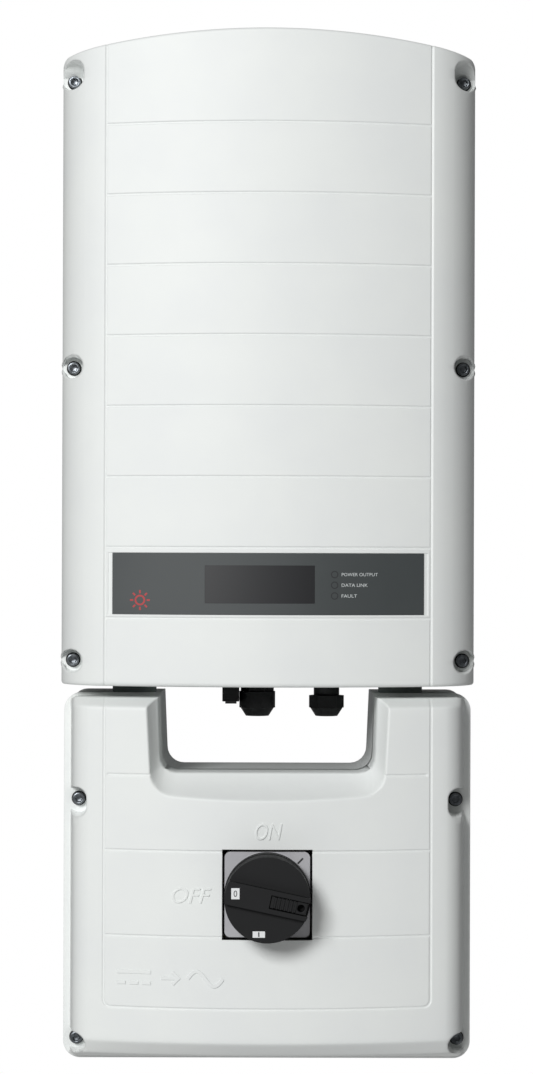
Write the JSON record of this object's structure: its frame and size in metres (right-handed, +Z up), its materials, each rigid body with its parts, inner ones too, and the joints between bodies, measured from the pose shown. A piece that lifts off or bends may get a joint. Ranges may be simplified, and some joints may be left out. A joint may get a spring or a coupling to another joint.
{
  "type": "string inverter",
  "caption": "Wall-hung solar string inverter with a display, arched white cover and finned back, and a notched safety-switch box with a rotary knob under it.",
  "frame": {"origin": "centre of the wall bracket's four bolt holes, on the wall plane", "axes": "+Z up, +X to the right seen from the front, +Y into the wall; the covers face -Y"},
  "size_m": [0.315, 0.22, 0.775],
  "materials": {
    "cover_white": "satin white powder coat over the covers",
    "cast_grey": "die-cast, satin",
    "sink_black": "extruded, bead-blasted",
    "seal_rubber": "matt silicone rubber",
    "grommet_grey": "grey rubber rings between the two housings",
    "screw_steel": "dull stainless steel",
    "label_film": "printed polyester film",
    "window_dark": "smoked display window",
    "module_frame": "display module",
    "lamp_lens": "clear indicator lamps",
    "board_green": "lacquered circuit board",
    "post_zinc": "zinc plated",
    "ribbon_grey": "flat cable",
    "cap_blue": "shrink sleeve",
    "copper_coil": "lacquered copper winding",
    "device_black": "moulded epoxy",
    "relay_grey": "moulded case",
    "terminal_green": "moulded terminal",
    "terminal_grey": "moulded terminal",
    "gland_black": "moulded polyamide",
    "knob_black": "moulded thermoplastic",
    "plate_grey": "moulded light grey plate",
    "mech_dark": "moulded switch body",
    "deck_cream": "moulded contact deck",
    "rotor_red": "moulded contact rotor",
    "brass_bar": "milled brass",
    "lead_red": "insulated wire",
    "lead_dark": "insulated wire",
    "bracket_zinc": "zinc plated sheet"
  },
  "bodies": {
    "housing": {"inverter_cover": "cover_white", "inverter_cover_gasket": "seal_rubber", "inverter_enclosure": "cast_grey", "heat_sink": "sink_black", "inverter_cover_screws": "screw_steel", "inverter_screw_washers": "seal_rubber", "label_overlay": "label_film", "lcd_window": "window_dark", "lcd_module": "module_frame", "status_leds": "lamp_lens", "control_board": "board_green", "control_board_posts": "post_zinc", "ribbon_cable": "ribbon_grey", "power_board": "board_green", "power_board_posts": "post_zinc", "dc_link_capacitors": "cap_blue", "power_inductors": "copper_coil", "power_transistors": "device_black", "grid_relays": "relay_grey", "dc_input_terminals": "terminal_green", "ac_output_terminals": "terminal_grey", "fan_frame": "device_black", "left_gland_body": "gland_black", "right_gland_body": "gland_black", "gland_dome_nuts": "gland_black", "gland_lock_nuts": "gland_black", "gland_seals": "seal_rubber", "on_off_switch_body": "gland_black", "light_button_housing": "gland_black", "light_button_spring": "post_zinc", "conduit_nipples": "post_zinc", "conduit_lock_nuts": "post_zinc", "conduit_washers": "grommet_grey", "dc_leads": "lead_red", "ac_leads": "lead_dark", "switch_box_cover": "cover_white", "switch_box_gasket": "seal_rubber", "switch_box_enclosure": "cast_grey", "switch_box_screws": "screw_steel", "switch_box_screw_washers": "seal_rubber", "switch_plate": "plate_grey", "switch_mechanism": "mech_dark", "contact_decks": "deck_cream", "din_rail": "post_zinc", "rail_posts": "post_zinc", "dc_terminals": "terminal_grey", "ac_terminals": "terminal_grey", "ground_bar": "brass_bar", "ground_screws": "screw_steel", "hang_rail": "bracket_zinc", "wall_bracket": "bracket_zinc", "foot_bracket": "bracket_zinc", "wall_bumpers": "seal_rubber"},
    "switch_knob": {"rotary_knob": "knob_black", "drive_shaft": "post_zinc", "contact_rotors": "rotor_red"},
    "lock_tab": {"lock_tab": "knob_black"},
    "on_off_rocker": {"on_off_rocker": "knob_black"},
    "light_button": {"light_button": "knob_black"},
    "fan_rotor": {"fan_rotor": "device_black"}
  },
  "joints": [
    {"name": "knob_turn", "type": "hinge", "parent": "housing", "child": "switch_knob", "pos_m": [0, -0.2, -0.5085], "axis": [0, 1, 0], "range_deg": [0, 90]},
    {"name": "lock_tab_pull", "type": "slide", "parent": "switch_knob", "child": "lock_tab", "axis": [0.9781, 0, -0.2079], "range_m": [0, 0.01]},
    {"name": "rocker_tip", "type": "hinge", "parent": "housing", "child": "on_off_rocker", "pos_m": [-0.0283, -0.088, -0.3658], "axis": [1, 0, 0], "range_deg": [0, 20]},
    {"name": "light_button_press", "type": "slide", "parent": "housing", "child": "light_button", "axis": [0, 0, 1], "range_m": [0, 0.0015], "stiffness_N_per_m": 400, "springref_m": -0.001, "deforming": ["light_button_spring"]},
    {"name": "fan_spin", "type": "hinge", "parent": "housing", "child": "fan_rotor", "pos_m": [0.07, -0.092, 0.06], "axis": [0, 1, 0], "continuous": true}
  ]
}
